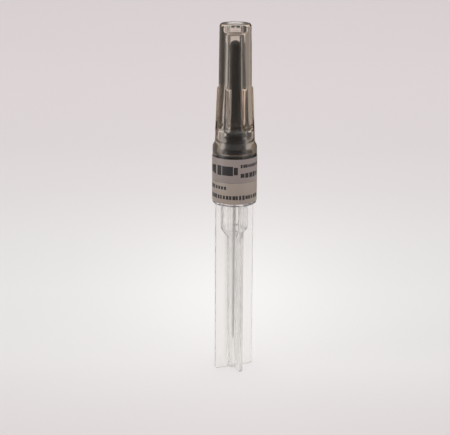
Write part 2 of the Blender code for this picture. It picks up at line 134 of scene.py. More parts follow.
def finishPiece(name, bm, material, body, node, sharpAngle):
    bmesh.ops.scale(bm, vec=(mm, mm, mm), verts=bm.verts)
    bmesh.ops.recalc_face_normals(bm, faces=bm.faces)
    mesh = bpy.data.meshes.new(name)
    bm.to_mesh(mesh)
    bm.free()
    mesh.shade_smooth()
    mesh.set_sharp_from_angle(angle=math.radians(sharpAngle))
    mesh.materials.append(material)
    piece = bpy.data.objects.new(name, mesh)
    scene.collection.objects.link(piece)
    normals = piece.modifiers.new("flatWalls", "WEIGHTED_NORMAL")  # keeps the walls beside a rounding straight
    normals.keep_sharp = True
    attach(piece, body)
    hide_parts(node)
    print("piece", name, len(mesh.polygons), "faces")


# Shader helpers

noiseSpan = (0.3, 0.7)  # most of a noise texture's values lie between these


def fillSockets(tree, node, values):
    for key, value in values.items():
        if isinstance(value, bpy.types.NodeSocket):
            tree.links.new(value, node.inputs[key])
        else:
            node.inputs[key].default_value = value
    return node


def addNode(tree, kind, inputs=None, **settings):
    node = tree.nodes.new(kind)
    for key, value in settings.items():
        setattr(node, key, value)
    return fillSockets(tree, node, inputs or {})


def placeGroup(tree, group, **values):
    return addNode(tree, "ShaderNodeGroup", values, node_tree=group)


def newMaterial(name):
    material = bpy.data.materials.new(name)
    material.use_nodes = True
    tree = material.node_tree
    return material, tree, tree.nodes["Principled BSDF"]


def mathNode(tree, operation, *values):
    return addNode(tree, "ShaderNodeMath", dict(enumerate(values)), operation=operation).outputs[0]


def rawCoords(tree):
    return addNode(tree, "ShaderNodeTexCoord").outputs["Object"]


def objectCoords(tree, scale=(1, 1, 1)):
    return addNode(tree, "ShaderNodeMapping", {"Vector": rawCoords(tree), "Scale": scale}).outputs[0]


def noise(tree, vector, scale, detail=2.0, roughness=0.5):
    inputs = {"Vector": vector, "Scale": scale, "Detail": detail, "Roughness": roughness}
    return addNode(tree, "ShaderNodeTexNoise", inputs).outputs["Fac"]


def chanceOf(tree, number):
    return addNode(tree, "ShaderNodeTexWhiteNoise", {"W": number}, noise_dimensions="1D").outputs["Value"]


def mapped(tree, value, start, end, low, high):
    return addNode(tree, "ShaderNodeMapRange", {"Value": value, 1: start, 2: end, 3: low, 4: high}).outputs[0]


def mixed(tree, factor, first, second, blend="MIX"):
    inputs = {"Factor": factor, "A": first, "B": second}
    return addNode(tree, "ShaderNodeMix", inputs, data_type="RGBA", blend_type=blend).outputs["Result"]


def giveBump(tree, shader, height, strength, depth):
    bump = addNode(tree, "ShaderNodeBump", {"Height": height, "Strength": strength, "Distance": depth * mm})
    tree.links.new(bump.outputs["Normal"], shader.inputs["Normal"])


def newGroup(name, inputs, outputs):
    group = bpy.data.node_groups.new(name, "ShaderNodeTree")
    for label, kind, value in inputs:
        socket = group.interface.new_socket(name=label, in_out="INPUT", socket_type="NodeSocket" + kind)
        if value is not None:
            socket.default_value = value
    for label, kind in outputs:
        group.interface.new_socket(name=label, in_out="OUTPUT", socket_type="NodeSocket" + kind)
    return group, group.nodes.new("NodeGroupInput").outputs, group.nodes.new("NodeGroupOutput").inputs


skinLook = {"waveDetail": 2.0, "grainDetail": 3.0, "grainRoughness": 0.6, "grainShare": 0.15}


def buildMouldSkin():
    # Moulded surface: slow flow waves and fine grain, as a height and as a roughness
    group, take, give = newGroup(
        "mouldSkin",
        [("Vector", "Vector", None), ("Waves", "Float", 300.0), ("Grain", "Float", 9000.0),
         ("Rough", "Float", 0.1), ("Vary", "Float", 0.05)],
        [("Roughness", "Float"), ("Height", "Float")],
    )
    waves = noise(group, take["Vector"], take["Waves"], skinLook["waveDetail"])
    grain = noise(group, take["Vector"], take["Grain"], skinLook["grainDetail"], skinLook["grainRoughness"])
    spread = mathNode(group, "MULTIPLY", mathNode(group, "SUBTRACT", waves, 0.5), take["Vary"])
    group.links.new(mathNode(group, "ADD", spread, take["Rough"]), give["Roughness"])
    group.links.new(mathNode(group, "MULTIPLY_ADD", grain, skinLook["grainShare"], waves), give["Height"])
    return group


mouldSkin = buildMouldSkin()


def lampsPass(tree, shader, kept):
    # Rays from lamps and off dull surfaces go straight through the plastic
    light = addNode(tree, "ShaderNodeLightPath")
    straight = mathNode(tree, "MAXIMUM", light.outputs["Is Shadow Ray"], light.outputs["Is Diffuse Ray"])
    tree.links.new(mathNode(tree, "MULTIPLY_ADD", straight, kept - 1.0, 1.0), shader.inputs["Alpha"])


def clearPlastic(name, look):
    material, tree, shader = newMaterial(name)
    skin = placeGroup(
        tree, mouldSkin, Vector=objectCoords(tree, look["stretch"]), Waves=look["waves"],
        Grain=look["grain"], Rough=look["rough"], Vary=look["vary"],
    )
    rough = skin.outputs["Roughness"]
    height = addNode(tree, "ShaderNodeSeparateXYZ", {0: rawCoords(tree)}).outputs["Z"]
    for start, end, most in look["hazes"]:  # duller past a height: from and to in metres, and how much
        rough = mathNode(tree, "ADD", rough, mapped(tree, height, start, end, 0.0, most))
    fillSockets(tree, shader, {
        "Roughness": rough, "Base Color": (*look["colour"], 1.0),
        "Transmission Weight": look["clear"], "IOR": look["ior"],
    })
    giveBump(tree, shader, skin.outputs["Height"], look["bump"], look["bumpDepth"])
    if "shade" in look:  # painted shade: darker past a height, from and to in metres, and the colour's share there
        start, end, least = look["shade"]
        share = mapped(tree, height, start, end, 1.0, least)
        tone = addNode(tree, "ShaderNodeVectorMath", {0: look["colour"], "Scale": share}, operation="SCALE")
        tree.links.new(tone.outputs["Vector"], shader.inputs["Base Color"])
    lampsPass(tree, shader, look["lampShare"])
    tint = addNode(tree, "ShaderNodeVolumeAbsorption", {
        "Color": (*look["depthColour"], 1.0), "Density": look["depth"],
    })
    tree.links.new(tint.outputs[0], tree.nodes["Material Output"].inputs["Volume"])
    return material


# Clear shield: narrow tube with four fins, wider pocket, collar and neck

shieldSize = {
    "bore": 0.95, "boreDraft": 0.16, "floor": 1.0, "floorRound": 0.3, "dish": 0.2, "tubeWall": 0.5,
    "taperEnd": 32.15, "pocketFloor": 34.0, "pocket": 2.45, "pocketWall": 0.7, "pocketBlend": 0.35,
    "socket": 3.1, "socketFloor": 44.95, "socketTaper": 0.65,
    "fins": 4, "finReach": 4.65, "finHalf": 0.35, "finEdge": 0.13, "finEdgeMost": 0.8, "finEdgeMiddle": 0.3,
    "rootRound": 0.2, "rootShares": (0.25, 0.5, 0.75, 1.0),
    # the fins' closed end: height, and what the tube, the reach and the half thickness lack there
    "finEnd": ((0.0, 0.15, 0.4, 0.1), (0.04, 0.06, 0.26, 0.04), (0.13, 0.0, 0.13, 0.0), (0.36, 0.0, 0.0, 0.0)),
    "finRings": (0.25, 0.5, 0.75, 0.97, 1.0), "taperRings": (0.06, 0.2, 0.4, 0.6, 0.8, 0.93, 1.0),
    "taperCurve": 0.4, "collar": 5.01, "collarBottom": 40.4, "collarTop": 45.9, "neck": 4.07, "top": 50.15,
    "collarRing": 0.05, "edge": 0.15, "softness": 0.07, "turn": 23.0 - 90.0, "arcSteps": 14, "sharp": 32.0,
}
shieldLook = {
    "colour": (1.0, 0.995, 0.98), "clear": 0.9, "ior": 1.49, "rough": 0.1, "vary": 0.04, "bump": 0.03,
    "bumpDepth": 0.2, "waves": 260.0, "grain": 6000.0, "stretch": (1, 1, 0.25), "lampShare": 0.12,
    "depth": 14.0, "depthColour": (0.66, 0.62, 0.50), "hazes": ((0.036, 0.03, 0.14),),
}


def shieldColumns(radius, reach, half):
    # Half a quarter of the finned section, from the middle of a fin to half way to the next
    s = shieldSize
    edge = min(s["finEdge"], half * s["finEdgeMost"])
    cut = edge * s["finEdgeMiddle"]
    rootX = math.sqrt(radius ** 2 - half ** 2)
    rootAngle = math.atan2(half, rootX)
    fillet = s["rootRound"]
    places = [(reach, 0.0), (reach, half - edge)]
    places += [(reach - cut, half - cut), (reach - edge, half)]
    start = rootX + fillet
    for share in s["rootShares"]:
        places.append((reach - edge + (start - reach + edge) * share, half))
    endAngle = rootAngle + fillet / radius
    end = (radius * math.cos(endAngle), radius * math.sin(endAngle))
    for t in s["rootShares"]:
        places.append(tuple(
            (1 - t) ** 2 * a + 2 * t * (1 - t) * b + t * t * c
            for a, b, c in zip((start, half), (rootX, half), end)
        ))
    for step in range(1, s["arcSteps"] + 1):
        angle = endAngle + (math.pi / 4 - endAngle) * step / s["arcSteps"]
        places.append((radius * math.cos(angle), radius * math.sin(angle)))
    return places


def buildNeedleShield():
    s = shieldSize
    edge = s["edge"]
    tube = s["bore"] + s["tubeWall"]
    pocketOut = s["pocket"] + s["pocketWall"]
    fullFin = ("fin", s["finReach"], s["finHalf"])
    angles = [math.atan2(y, x) for x, y in shieldColumns(pocketOut, s["finReach"], s["finHalf"])]
    half = len(angles) - 1
    outline = [(0.0, 0.0, "round")]
    for height, less, reachLess, halfLess in s["finEnd"]:
        outline.append((tube - less, height, ("fin", s["finReach"] - reachLess, s["finHalf"] - halfLess)))
    for share in s["finRings"]:
        outline.append((tube + s["boreDraft"] * share, share * s["taperEnd"], fullFin))
    low = tube + s["boreDraft"]
    rise = s["pocketFloor"] + s["pocketBlend"] - s["taperEnd"]
    for share in s["taperRings"]:
        outline.append((
            low + (pocketOut - low) * eased(share, s["taperCurve"]), s["taperEnd"] + rise * share, fullFin,
        ))
    outline += formed(fullFin, (pocketOut, s["collarBottom"] - s["collarRing"]), (pocketOut, s["collarBottom"]))
    outline += softened(formed(
        "round",
        (s["collar"] - edge, s["collarBottom"]), (s["collar"], s["collarBottom"] + edge),
        (s["collar"], s["collarTop"]), (s["neck"], s["collarTop"]),
        (s["neck"], s["top"] - edge), (s["neck"] - edge, s["top"]),
        (s["socket"], s["top"]), (s["socket"], s["socketFloor"]),
        (s["pocket"], s["socketFloor"] - s["socketTaper"]), (s["pocket"], s["pocketFloor"]),
        (s["bore"] + s["boreDraft"], s["taperEnd"]), (s["bore"], s["floor"] + s["floorRound"]),
        (s["bore"] - s["floorRound"], s["floor"]), (0.0, s["floor"] - s["dish"]),
    ), s["softness"], 2)

    def bend(point, step):
        radius, height, form = point

        def place(column):
            if form == "round":
                return radius * math.cos(angles[column]), radius * math.sin(angles[column])
            return shieldColumns(radius, form[1], form[2])[column]

        return *inSectors(step, half, s["fins"], place), height

    bm = spinRings(outline, 2 * s["fins"] * half, bend, turn=s["turn"])
    plastic = clearPlastic("shieldPlastic", shieldLook)
    finishPiece("needleShield", bm, plastic, "shield", "needle_shield", s["sharp"])


# Smoke-grey rear cap: six-sided head with a recess in its end, shoulder, grip with six panels, cone and collar

capSize = {
    "sides": 6, "turn": 5.0 - 90.0, "edge": 0.12, "sharp": 25.0,
    "top": 80.85, "recess": 1.7, "recessDepth": 2.0, "rim": 0.3, "chamferWidth": 0.3, "chamferHeight": 0.5,
    # rings this far from the recess's corners keep its walls and floor straight in the light
    "floorRing": 0.35, "lowRing": 0.3, "highRing": 0.16,
    "corner": 3.54, "cornerLow": 3.69, "cornerEdge": 0.1, "faceBulge": 1.08,
    "gripTop": 66.85, "gripBottom": 57.05, "gripRadius": 4.02, "gripRadiusLow": 4.42, "gripRings": (0.3, 0.6, 0.9),
    "shoulder": 0.35, "shoulderGap": 0.02, "panelFlare": 0.5,
    # the ledge at the panels' lower end: its height, then part of that height and how far it has risen there
    "ledge": 0.55,
    "ledgeRise": ((1, 0), (0.85, 0.04), (0.7, 0.16), (0.55, 0.37), (0.4, 0.63), (0.25, 0.84), (0.1, 0.96)),
    "coneTop": 56.95, "coneBottom": 54.55, "coneFlare": 0.07, "coneSoftness": 0.3,
    "collar": 5.01, "collarTop": 53.55, "collarRings": (1.0, 0.8), "collarEdge": 0.15, "bottom": 45.95,
    "skirtBore": 4.15, "skirtTop": 52.0, "threadBore": 2.7, "threadRoomTop": 55.85, "funnelBottom": 57.15,
    "funnelMouth": 2.63, "funnelRings": (0.16, 0.3, 0.44, 0.58, 0.72, 0.86), "funnelCurve": 0.6,
    # radius and height of the room round the sleeve
    "sleeveRoom": (
        (1.86, 58.9), (1.84, 60.6), (1.78, 62.5), (1.66, 64.0),
        (1.52, 67.5), (1.42, 73.0), (1.38, 76.0), (1.35, 78.45),
    ),
    "roomSoftness": 0.4, "cavityTop": 78.45,
}
capLook = {
    "colour": (0.985, 0.98, 0.975), "clear": 1.0, "ior": 1.52, "rough": 0.03, "vary": 0.04, "bump": 0.03,
    "bumpDepth": 0.2, "waves": 240.0, "grain": 6000.0, "stretch": (1, 1, 0.3), "lampShare": 0.1,
    "depth": 130.0, "depthColour": (0.8, 0.62, 0.38), "hazes": ((0.0575, 0.0545, 0.18), (0.08075, 0.0808, 0.55)),
    # painted shade: the cap's colour darkens from the cone down to the collar
    "shade": (0.0572, 0.0532, 0.53),
}
# Half a sector of the grip: angle in degrees, and how far the surface has risen from panel to rib
gripColumns = (
    (0, 0), (4, 0), (8, 0), (12, 0), (15, 0), (17, 0.01), (18.4, 0.06), (19.6, 0.16), (20.8, 0.3), (22, 0.46),
    (23.2, 0.63), (24.4, 0.79), (25.6, 0.9), (26.8, 0.97), (28, 1), (29, 1), (30, 1),
)


def facePlace(corner, column):
    # Each face of the head bulges on a flatter arc than the circle through the corners
    faceRadius = corner * capSize["faceBulge"]
    most = math.asin(corner / 2 / faceRadius)
    angle = most * column / (len(gripColumns) - 1)
    middle = corner * math.cos(math.radians(30)) - faceRadius * math.cos(most)
    return middle + faceRadius * math.cos(angle), faceRadius * math.sin(angle)


def capPlace(point, column):
    s = capSize
    radius, height, form = point
    if form == "head":
        return facePlace(radius, column)
    angle, risen = gripColumns[column]
    angle = math.radians(angle)
    if form[0] == "grip":  # a panel goes on where the face above it ends, and form holds how far it has risen
        down = (s["gripTop"] - height) / (s["gripTop"] - s["gripBottom"])
        face = facePlace(s["cornerLow"] + s["panelFlare"] * down, column)
        low = min(radius, math.hypot(*face))
        radius = low + (radius - low) * max(risen, form[1])
    return radius * math.cos(angle), radius * math.sin(angle)


def capOutside():
    s = capSize
    top, edge, recess = s["top"], s["edge"], s["recess"]
    floor = top - s["recessDepth"]
    end = softened(formed(
        "round",
        (0.0, floor), (recess - s["floorRing"], floor), (recess - edge, floor), (recess, floor + edge),
        (recess, floor + s["lowRing"]), (recess, top - s["highRing"]), (recess, top), (recess + s["rim"], top),
    ), edge)
    head = softened(formed(
        "head",
        (s["corner"] - s["chamferWidth"] - s["rim"], top), (s["corner"] - s["chamferWidth"], top),
        (s["corner"], top - s["chamferHeight"]), ((s["corner"] + s["cornerLow"]) / 2, (top + s["gripTop"]) / 2),
        (s["cornerLow"], s["gripTop"] + s["shoulderGap"]),
    ), s["cornerEdge"])
    panel = ("grip", 0.0)
    high, low, shoulder = s["gripRadius"], s["gripRadiusLow"], s["shoulder"]
    grip = roundArc(high - shoulder, s["gripTop"] - shoulder, shoulder, 90, 0, 5, panel)
    for share in s["gripRings"]:
        grip.append((high + (low - high) * share, s["gripTop"] + (s["gripBottom"] - s["gripTop"]) * share, panel))
    for share, risen in s["ledgeRise"]:
        grip.append((low, s["gripBottom"] + s["ledge"] * share, ("grip", risen)))
    cone = softened(formed(
        "round",
        grip[-1][:2], (low, s["coneTop"]), (low + s["coneFlare"], s["coneBottom"]), (s["collar"], s["collarTop"]),
        (s["collar"], s["bottom"] + s["collarRings"][0]),
    ), s["coneSoftness"], 5)[1:]
    return end + head + grip + cone


def capInside():
    s = capSize
    edge = s["edge"]
    skirt = softened(formed(
        "round",
        (s["collar"], s["bottom"] + s["collarRings"][1]), (s["collar"], s["bottom"] + s["collarEdge"]),
        (s["collar"] - s["collarEdge"], s["bottom"]), (s["skirtBore"], s["bottom"]),
        (s["skirtBore"], s["skirtTop"]), (s["threadBore"], s["skirtTop"]),
        (s["threadBore"], s["threadRoomTop"]), (s["funnelMouth"], s["funnelBottom"]),
    ), edge)
    wide, narrow = skirt[-1], s["sleeveRoom"][0]
    funnel = [
        (wide[0] + (narrow[0] - wide[0]) * eased(share, s["funnelCurve"]), wide[1] + (narrow[1] - wide[1]) * share)
        for share in s["funnelRings"]
    ]
    room = softened(formed("round", *funnel, *s["sleeveRoom"]), s["roomSoftness"])
    closing = room[-1][0] - edge
    room[-1:] = roundArc(closing, s["cavityTop"] - edge, edge, 0, 90, 4)
    return skirt + room + formed("round", (closing - edge, s["cavityTop"]), (0.0, s["cavityTop"]))


def buildRearCap():
    s = capSize
    half = len(gripColumns) - 1

    def bend(point, step):
        place = inSectors(step, half, s["sides"], lambda column: capPlace(point, column))
        return *place, point[1]

    bm = spinRings(capOutside() + capInside(), 2 * s["sides"] * half, bend, turn=s["turn"])
    plastic = clearPlastic("smokePlastic", capLook)
    finishPiece("rearCap", bm, plastic, "rear_cap", "rear_cap", s["sharp"])


# Hub: black moulding with barrel, drive lugs, flange, right-handed thread and barbed nub

hubSize = {
    "front": 46.3, "barrel": 2.5, "barrelEdge": 0.3, "barrelRing": 0.35, "noseSoftness": 0.08,
    "flangeFront": 50.2, "flange": 3.85, "flangeBack": 51.2, "flangeRound": 0.3,
    "lugs": 4, "lugFront": 0.1, "lugBack": 0.45, "lugStart": 0.4, "lugFoot": 0.1,
    "lugRings": (0, 0.05, 0.15, 0.4, 0.7, 0.94), "lugSlope": 2.0, "lugGap": 0.8, "lugEase": 0.25,
    "core": 1.955, "coreFoot": ((0.2, 0.0), (0.06, 0.05)),  # radius and height that the core's foot adds
    "depth": 0.42, "pitch": 1.45, "relief": 0.55, "flank": 0.62, "slope": 0.34, "flankCurve": 0.5,
    "lead": 0.4, "runOut": 0.3,  # turns over which the thread grows and dies away
    "threadEnd": 57.0, "endEdge": 0.1, "endRing": 0.01, "nub": 1.15, "nubEnd": 59.4, "nubTaper": 0.8,
    "nubSoftness": 0.07, "barb": 1.3, "barbFrom": 1.1, "barbTo": 0.85, "bore": 0.39, "well": 1.0, "wellDepth": 1.2,
    "steps": 120, "ringsPerTurn": 20, "sharp": 40.0,
}
hubLook = {
    "colour": (0.006, 0.0065, 0.007), "edgeHighlight": (0.012, 0.012, 0.0125), "rough": 0.5, "vary": 0.12,
    "waves": 900.0, "grain": 14000.0, "specular": 0.3, "bump": 0.15, "bumpDepth": 0.05,
    "edgeHighlightSpan": (0.53, 0.62, 0.0, 0.8),  # painted highlight on sharp edges: from and to in pointiness, and how much of the lighter colour shows there
}


def hubRidge(height, angle):
    s = hubSize
    start = s["flangeBack"] + s["relief"]
    turn = (height - start) / s["pitch"] - angle / (2 * math.pi)
    fromCrest = abs(turn - round(turn)) * 2
    ridge = eased(limited((s["flank"] - fromCrest) / s["slope"]), s["flankCurve"])
    lead = limited((height - start) / (s["lead"] * s["pitch"]))
    runOut = limited((s["threadEnd"] - s["endEdge"] - height) / (s["runOut"] * s["pitch"]))
    return s["depth"] * ridge * min(lead, runOut)


def hubMaterial():
    look = hubLook
    material, tree, shader = newMaterial("hubPlastic")
    skin = placeGroup(
        tree, mouldSkin, Vector=objectCoords(tree), Waves=look["waves"], Grain=look["grain"],
        Rough=look["rough"], Vary=look["vary"],
    )
    edge = addNode(tree, "ShaderNodeNewGeometry").outputs["Pointiness"]
    # painted highlight: the sharp edges are lighter
    edgeHighlight = mapped(tree, edge, *look["edgeHighlightSpan"])
    fillSockets(tree, shader, {
        "Base Color": mixed(tree, edgeHighlight, (*look["colour"], 1), (*look["edgeHighlight"], 1)),
        "Roughness": skin.outputs["Roughness"], "Specular IOR Level": look["specular"],
    })
    giveBump(tree, shader, skin.outputs["Height"], look["bump"], look["bumpDepth"])
    return material


def buildHub():
    s = hubSize
    front, barrelEdge, flangeRound = s["front"], s["barrelEdge"], s["flangeRound"]
    nose = softened(formed(
        "round",
        (s["bore"], front + s["wellDepth"]), (s["well"], front + s["wellDepth"]), (s["well"], front),
        (s["barrel"] - barrelEdge, front), (s["barrel"], front + barrelEdge),
        (s["barrel"], front + s["barrelRing"]),
    ), s["noseSoftness"])
    lugRun = s["flangeFront"] - front - s["lugStart"]
    barrel = [(s["barrel"], front + s["lugStart"] + lugRun * share, "lug") for share in s["lugRings"]]
    flange = [(s["barrel"] + s["lugFoot"], s["flangeFront"], "lug")]
    flange += roundArc(s["flange"] - flangeRound, s["flangeFront"] + flangeRound, flangeRound, -90, 0, 6)
    flange += roundArc(s["flange"] - flangeRound, s["flangeBack"] - flangeRound, flangeRound, 0, 90, 6)
    flange += [(s["core"] + out, s["flangeBack"] + up, "round") for out, up in s["coreFoot"]]
    start, end = s["flangeBack"] + s["relief"], s["threadEnd"] - s["endEdge"]
    rings = math.ceil((end - start) / s["pitch"] * s["ringsPerTurn"])
    thread = [(s["core"], start + (end - start) * ring / rings, "thread") for ring in range(rings + 1)]
    back = softened(formed(
        "round",
        (s["core"], end + s["endRing"]), (s["core"] - s["endEdge"], s["threadEnd"]), (s["nub"], s["threadEnd"]),
        (s["nub"], s["nubEnd"] - s["barbFrom"]), (s["barb"], s["nubEnd"] - s["barbTo"]),
        (s["nub"] * s["nubTaper"], s["nubEnd"]), (s["bore"], s["nubEnd"]),
    ), s["nubSoftness"])

    def bend(point, step):
        radius, height, form = point
        angle = 2 * math.pi * step / s["steps"]
        if form == "thread":
            radius += hubRidge(height, angle)
        if form == "lug":
            growth = (s["lugBack"] - s["lugFront"]) * (height - front)
            proud = s["lugFront"] + growth / (s["flangeFront"] - front)
            lobe = limited(math.cos(s["lugs"] * angle) * s["lugSlope"] - s["lugGap"])
            ease = min((height - front - s["barrelRing"]) / s["lugEase"], 1.0)
            radius += proud * ease * lobe * lobe * (3 - 2 * lobe)
        return radius * math.cos(angle), radius * math.sin(angle), height

    bm = spinRings(nose + barrel + flange + thread + back, s["steps"], bend, closed=True)
    finishPiece("hub", bm, hubMaterial(), "needle", "hub", s["sharp"])


# Cannula: steel tube ground to a lancet point at both ends

cannulaSize = {
    "radius": 0.36, "bore": 0.205, "tip": 6.9, "rearTip": 75.2, "frontBevel": 12.0, "rearBevel": 17.0,
    "lancetTurn": 35.0, "lancetShare": 0.42, "steps": 64, "sharp": 40.0,
}
cannulaLook = {
    "colour": (0.50, 0.49, 0.48), "rough": (0.18, 0.34), "lines": 22000.0, "stretch": (1, 1, 0.02),
    "detail": 3.0, "fineness": 0.6, "bump": 0.12, "bumpDepth": 0.02,
}


def groundHeight(x, y, bevel):
    s = cannulaSize
    turn = math.radians(s["lancetTurn"])
    rise = 2 * s["lancetShare"]
    reach = math.sqrt(1 - (1 - rise) ** 2)
    ease = rise / (rise * math.cos(turn) + reach * math.sin(turn))
    back = y + s["radius"]
    side = ease * (back * math.cos(turn) + abs(x) * math.sin(turn))
    return max(back, side) / math.tan(math.radians(bevel))


def cannulaMaterial():
    look = cannulaLook
    material, tree, shader = newMaterial("drawnSteel")
    lines = noise(tree, objectCoords(tree, look["stretch"]), look["lines"], look["detail"], look["fineness"])
    fillSockets(tree, shader, {
        "Base Color": (*look["colour"], 1), "Metallic": 1.0,
        "Roughness": mapped(tree, lines, *noiseSpan, *look["rough"]),
    })
    giveBump(tree, shader, lines, look["bump"], look["bumpDepth"])
    return material


def buildCannula():
    s = cannulaSize
    middle = (s["tip"] + s["rearTip"]) / 2
    outline = [
        (s["radius"], s["tip"], "front"), (s["radius"], middle, "plain"), (s["radius"], s["rearTip"], "rear"),
        (s["bore"], s["rearTip"], "rear"), (s["bore"], middle, "plain"), (s["bore"], s["tip"], "front"),
    ]

    def bend(point, step):
        angle = 2 * math.pi * step / s["steps"]
        x, y, height = point[0] * math.cos(angle), point[0] * math.sin(angle), point[1]
        if point[2] == "front":
            height += groundHeight(x, y, s["frontBevel"])
        if point[2] == "rear":
            height -= groundHeight(x, y, s["rearBevel"])
        return x, y, height

    bm = spinRings(outline, s["steps"], bend, closed=True)
    finishPiece("cannula", bm, cannulaMaterial(), "needle", "cannula", s["sharp"])


# Resin bead that bonds the cannula into the hub

beadSize = {
    "bore": 0.39, "plug": 0.96, "bead": 1.2, "tip": 0.5, "top": 46.26, "length": 1.6, "plugTop": 47.46,
    "edge": 0.06, "rim": 0.02, "hollow": 1.4, "rings": 14, "steps": 64, "sharp": 50.0,
}
beadLook = {
    "colour": (0.86, 0.76, 0.38), "clear": 0.85, "ior": 1.5, "rough": 0.12, "vary": 0.1, "bump": 0.08,
    "bumpDepth": 0.2, "waves": 1500.0, "grain": 9000.0, "stretch": (1, 1, 1), "lampShare": 0.25,
    "depth": 500.0, "depthColour": (0.8, 0.66, 0.25), "hazes": (),
}


def buildAdhesiveBead():
    s = beadSize
    edge = s["edge"]
    outline = formed(
        "round", (s["bore"], s["plugTop"]), (s["plug"], s["plugTop"]), (s["plug"], s["top"]),
        (s["bead"], s["top"]), (s["bead"] + s["rim"], s["top"] - edge),
    )
    for step in range(1, s["rings"] + 1):
        share = step / s["rings"]
        radius = s["tip"] + (s["bead"] - s["tip"]) * (1 - share) ** s["hollow"]
        outline.append((radius, s["top"] - edge - (s["length"] - 2 * edge) * share, "round"))
    outline.append((s["bore"], s["top"] - s["length"], "round"))
    bm = spinRings(outline, s["steps"], closed=True)
    resin = clearPlastic("yellowResin", beadLook)
    finishPiece("adhesiveBead", bm, resin, "needle", "adhesive_bead", s["sharp"])


# Rubber sleeve over the rear point

sleeveSize = {
    "radius": 1.34, "bore": 0.65, "base": 57.05, "top": 77.3, "endWall": 0.9, "nubRoom": 1.35, "bulge": 1.75,
    "bulgeEnd": 59.45, "bulgeEdge": 0.15, "bulgeBlend": 0.08, "blendAt": 0.75, "taper": 0.8, "softness": 0.15,
    "steps": 96, "sharp": 45.0,
}
sleeveLook = {
    "colour": (0.009, 0.009, 0.009), "dust": (0.022, 0.0225, 0.023), "rough": (0.55, 0.72),
    "cloud": 700.0, "cloudDetail": 5.0, "cloudRoughness": 0.65, "grain": 16000.0, "bump": 0.25, "bumpDepth": 0.04,
    "dusty": (0.4, 0.75, 0.0, 0.6),  # from and to in the cloud, and how much dust shows there
}


def sleeveMaterial():
    look = sleeveLook
    material, tree, shader = newMaterial("darkRubber")
    coords = objectCoords(tree)
    cloud = noise(tree, coords, look["cloud"], look["cloudDetail"], look["cloudRoughness"])
    grain = noise(tree, coords, look["grain"])
    dusty = mapped(tree, cloud, *look["dusty"])
    fillSockets(tree, shader, {
        "Base Color": mixed(tree, dusty, (*look["colour"], 1), (*look["dust"], 1)),
        "Roughness": mapped(tree, cloud, *noiseSpan, *look["rough"]),
    })
    giveBump(tree, shader, grain, look["bump"], look["bumpDepth"])
    return material


def buildRubberSleeve():
    s = sleeveSize
    edge, blend, bulge, end, taper = s["bulgeEdge"], s["bulgeBlend"], s["bulge"], s["bulgeEnd"], s["taper"]
    outline = roundArc(0.0, s["top"] - s["radius"], s["radius"], 90, 0, 14)
    outline[0] = (0.0, s["top"], "round")
    lower = formed(
        "round",
        (s["radius"], end + taper), (s["radius"] + blend, end + taper * s["blendAt"]), (bulge - blend, end),
        (bulge, end - edge), (bulge, s["base"] + edge), (bulge - edge, s["base"]),
        (s["nubRoom"], s["base"]), (s["nubRoom"], end), (s["bore"], end + taper),
    )
    outline += softened([outline[-1]] + lower, s["softness"])[1:]
    innerTop = s["top"] - s["endWall"]
    outline += roundArc(0.0, innerTop - s["bore"], s["bore"], 0, 90, 6)[:-1]
    outline.append((0.0, innerTop, "round"))
    bm = spinRings(outline, s["steps"])
    finishPiece("rubberSleeve", bm, sleeveMaterial(), "needle", "rubber_sleeve", s["sharp"])


# Seal label in two halves, torn apart along its row of fine cuts, with an overlap at the back

labelSize = {
    "inner": 5.03, "outer": 5.09, "lowerBottom": 41.0, "lowerTop": 45.91, "upperBottom": 45.94, "upperTop": 51.35,
    "edgeIn": 0.02, "edgeHigh": 0.03, "teeth": 60, "toothDepth": 0.03,
    # the overlap: degrees from the front, degrees wide, its rise, and the degrees of its two slopes
    "seam": 150.0, "overlap": 16.0, "lapRise": 0.06, "lapFoot": 6.0, "lapStep": 0.15, "lapEnd": 1.5,
    "steps": 240, "sharp": 40.0,
}
labelLook = {
    # painted shade: the paper colours upper and lower are darkened to the shaded look of the label's front, and the
    # upper half is darker than the lower
    "upper": (0.295, 0.25, 0.228), "lower": (0.35, 0.295, 0.25), "ink": (0.012, 0.011, 0.012),
    # painted shade on the label's inner side: its colour, and how far out from the inner face it reaches
    "backShade": (0.025, 0.021, 0.018), "backShadeDepth": 0.015, "rough": (0.42, 0.60), "bump": 0.12, "bumpDepth": 0.03,
    "fibre": 2600.0, "fibreStretch": (1, 1, 1.6), "fibreDetail": 5.0, "fibreRoughness": 0.7, "fibreShare": 0.10,
    "cloud": 260.0, "cloudShare": 0.14, "tone": 0.88,
    "inkWear": (0.25, 0.5, 0.88, 1.0),  # from and to in the fibres, and how much ink is left there
    "dashWidths": 0.45, "dashHeights": 0.3,  # how much chance changes a dash
}


